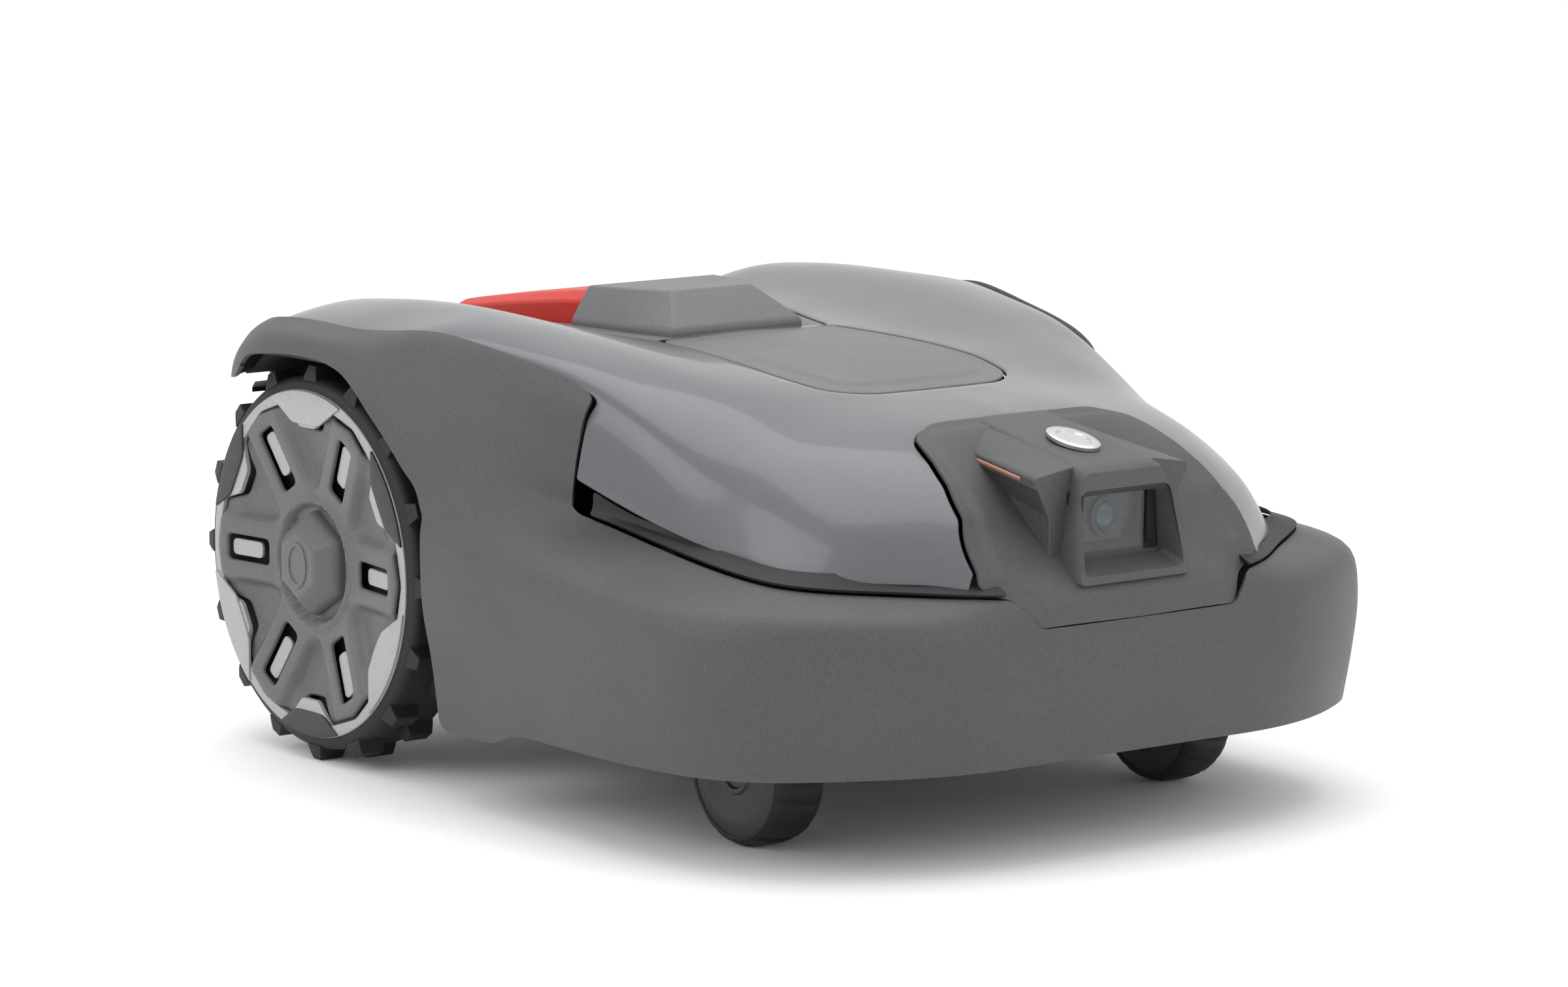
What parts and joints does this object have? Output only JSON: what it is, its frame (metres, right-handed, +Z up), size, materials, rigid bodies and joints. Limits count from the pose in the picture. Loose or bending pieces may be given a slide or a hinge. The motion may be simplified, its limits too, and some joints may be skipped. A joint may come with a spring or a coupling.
{
  "type": "robotic lawn mower",
  "caption": "Four-wheeled robotic lawn mower with a floating shell, camera nose, stop button, hatch, casters and a height-adjustable cutting disc.",
  "frame": {"origin": "on the floor, under the middle of the mower's length and width", "axes": "+Z up, -Y towards the front of the mower, -X to the mower's own right-hand side"},
  "size_m": [0.502, 0.646, 0.29],
  "materials": {
    "body_grey": "fine moulded grain, matt",
    "cover_grey": "metallic satin paint",
    "deck_grey": "fine moulded grain, matt",
    "stop_red": "moulded orange-red, matt",
    "inner_dark": "plain dark moulding",
    "gloss_black": "polished black",
    "window_glass": "dark tinted window",
    "light_strip": "copper-coloured light strip",
    "emblem": "plain white badge",
    "tyre_rubber": "matt black rubber",
    "rim_dark": "dark moulding",
    "hubcap_grey": "satin silver and grey",
    "caster_grey": "grey moulding",
    "steel": "bright steel",
    "seal_rubber": "soft black rubber",
    "battery_case": "plain black moulding",
    "board_green": "solder-masked board",
    "motor_steel": "plated steel can",
    "contact_brass": "plated contact",
    "blade_steel": "ground blade steel",
    "button_grey": "soft-touch button"
  },
  "bodies": {
    "chassis": {"chassis_tray": "inner_dark", "chassis_seal": "seal_rubber", "chassis_lid": "inner_dark", "case_screws": "steel", "carriage_seal": "seal_rubber", "carry_handle": "body_grey", "charging_contacts": "contact_brass", "caster_bushes": "caster_grey", "battery_pack": "battery_case", "battery_cover": "inner_dark", "main_circuit_board": "board_green", "drive_gearmotors": "motor_steel", "guide_rods": "steel", "height_motor": "motor_steel", "suspension_posts": "seal_rubber", "control_panel": "inner_dark", "display_window": "window_glass"},
    "power_switch": {"power_rocker": "button_grey"},
    "float_lower": {"float_frame_lower": "inner_dark"},
    "float_upper": {"float_frame_upper": "inner_dark"},
    "shell": {"lower_shell": "body_grey", "top_cover": "cover_grey", "rear_deck": "deck_grey", "antenna_housing": "deck_grey", "antenna_module": "inner_dark", "stop_well": "inner_dark", "nose_housing": "body_grey", "camera_window": "window_glass", "camera_module": "gloss_black", "headlamp_brow_left": "gloss_black", "headlamp_brow_right": "gloss_black", "light_bars": "light_strip", "nose_emblem": "emblem"},
    "hatch": {"front_hatch": "deck_grey"},
    "stop_cap": {"stop_button": "stop_red"},
    "park_cap": {"button_park": "button_grey"},
    "start_cap": {"button_start": "button_grey"},
    "drive_wheel_left": {"drive_rim_left": "rim_dark", "drive_tyre_left": "tyre_rubber", "hubcap_left": "hubcap_grey", "wheel_shaft_left": "steel"},
    "drive_wheel_right": {"drive_rim_right": "rim_dark", "drive_tyre_right": "tyre_rubber", "hubcap_right": "hubcap_grey", "wheel_shaft_right": "steel"},
    "caster_fork_left": {"caster_rod_left": "steel"},
    "caster_fork_right": {"caster_rod_right": "steel"},
    "caster_roller_left": {"caster_wheel_left": "caster_grey", "caster_tread_left": "tyre_rubber"},
    "caster_roller_right": {"caster_wheel_right": "caster_grey", "caster_tread_right": "tyre_rubber"},
    "cutter_motor": {"cutter_carriage": "inner_dark"},
    "lift_screw": {"height_screw": "steel"},
    "cutter_disc": {"blade_disc": "caster_grey", "cutter_shaft": "steel", "blade_screws": "steel"},
    "blade_a": {"blade_1": "blade_steel"},
    "blade_b": {"blade_2": "blade_steel"},
    "blade_c": {"blade_3": "blade_steel"},
    "skid": {"skid_plate": "inner_dark"}
  },
  "joints": [
    {"name": "float_fore_aft", "type": "slide", "parent": "chassis", "child": "float_lower", "axis": [0, 1, 0], "range_m": [-0.005, 0.005], "stiffness_N_per_m": 2500},
    {"name": "float_sideways", "type": "slide", "parent": "float_lower", "child": "float_upper", "axis": [1, 0, 0], "range_m": [-0.005, 0.005], "stiffness_N_per_m": 2500},
    {"name": "shell_lift", "type": "slide", "parent": "float_upper", "child": "shell", "axis": [0, 0, 1], "range_m": [0, 0.008]},
    {"name": "hatch_hinge", "type": "hinge", "parent": "shell", "child": "hatch", "pos_m": [0, -0.121, 0.2485], "axis": [1, 0, 0], "range_deg": [0, 80]},
    {"name": "stop_press", "type": "hinge", "parent": "shell", "child": "stop_cap", "pos_m": [0, 0.168, 0.258], "axis": [1, 0, 0], "range_deg": [-3, 0], "stiffness_Nm_per_rad": 12, "springref_deg": 2.29},
    {"name": "power_rock", "type": "hinge", "parent": "chassis", "child": "power_switch", "pos_m": [-0.045, -0.18, 0.073], "axis": [0, 1, 0], "range_deg": [-6, 6]},
    {"name": "cutting_height", "type": "slide", "parent": "chassis", "child": "cutter_motor", "axis": [0, 0, 1], "range_m": [-0.02, 0.02]},
    {"name": "lift_screw_turn", "type": "hinge", "parent": "chassis", "child": "lift_screw", "pos_m": [0.066, 0.02, 0.11], "axis": [0, 0, 1], "range_deg": [-1810, 1810]},
    {"name": "blade_spin", "type": "hinge", "parent": "cutter_motor", "child": "cutter_disc", "pos_m": [0, 0.02, 0.045], "axis": [0, 0, 1], "continuous": true},
    {"name": "skid_spin", "type": "hinge", "parent": "cutter_disc", "child": "skid", "pos_m": [0, 0.02, 0.033], "axis": [0, 0, 1], "continuous": true},
    {"name": "park_press", "type": "slide", "parent": "chassis", "child": "park_cap", "axis": [0, 0, -1], "range_m": [0, 0.002], "stiffness_N_per_m": 800, "springref_m": -0.001},
    {"name": "start_press", "type": "slide", "parent": "chassis", "child": "start_cap", "axis": [0, 0, -1], "range_m": [0, 0.002], "stiffness_N_per_m": 800, "springref_m": -0.001},
    {"name": "blade_a_pivot", "type": "hinge", "parent": "cutter_disc", "child": "blade_a", "pos_m": [0, 0.106, 0.039], "axis": [0, 0, 1], "continuous": true},
    {"name": "blade_b_pivot", "type": "hinge", "parent": "cutter_disc", "child": "blade_b", "pos_m": [-0.07448, -0.023, 0.039], "axis": [0, 0, 1], "continuous": true},
    {"name": "blade_c_pivot", "type": "hinge", "parent": "cutter_disc", "child": "blade_c", "pos_m": [0.07448, -0.023, 0.039], "axis": [0, 0, 1], "continuous": true},
    {"name": "drive_spin_left", "type": "hinge", "parent": "chassis", "child": "drive_wheel_left", "pos_m": [0.206, 0.197, 0.124], "axis": [1, 0, 0], "continuous": true},
    {"name": "caster_swivel_left", "type": "hinge", "parent": "chassis", "child": "caster_fork_left", "pos_m": [0.1565, -0.1885, 0.12], "axis": [0, 0, 1], "continuous": true},
    {"name": "caster_roll_left", "type": "hinge", "parent": "caster_fork_left", "child": "caster_roller_left", "pos_m": [0.1565, -0.1665, 0.045], "axis": [1, 0, 0], "continuous": true},
    {"name": "drive_spin_right", "type": "hinge", "parent": "chassis", "child": "drive_wheel_right", "pos_m": [-0.206, 0.197, 0.124], "axis": [1, 0, 0], "continuous": true},
    {"name": "caster_swivel_right", "type": "hinge", "parent": "chassis", "child": "caster_fork_right", "pos_m": [-0.1565, -0.1885, 0.12], "axis": [0, 0, 1], "continuous": true},
    {"name": "caster_roll_right", "type": "hinge", "parent": "caster_fork_right", "child": "caster_roller_right", "pos_m": [-0.1565, -0.1665, 0.045], "axis": [1, 0, 0], "continuous": true}
  ],
  "couplings": [
    {"joint": "lift_screw_turn", "follows": "cutting_height", "rad_per_m": 1570.8}
  ]
}
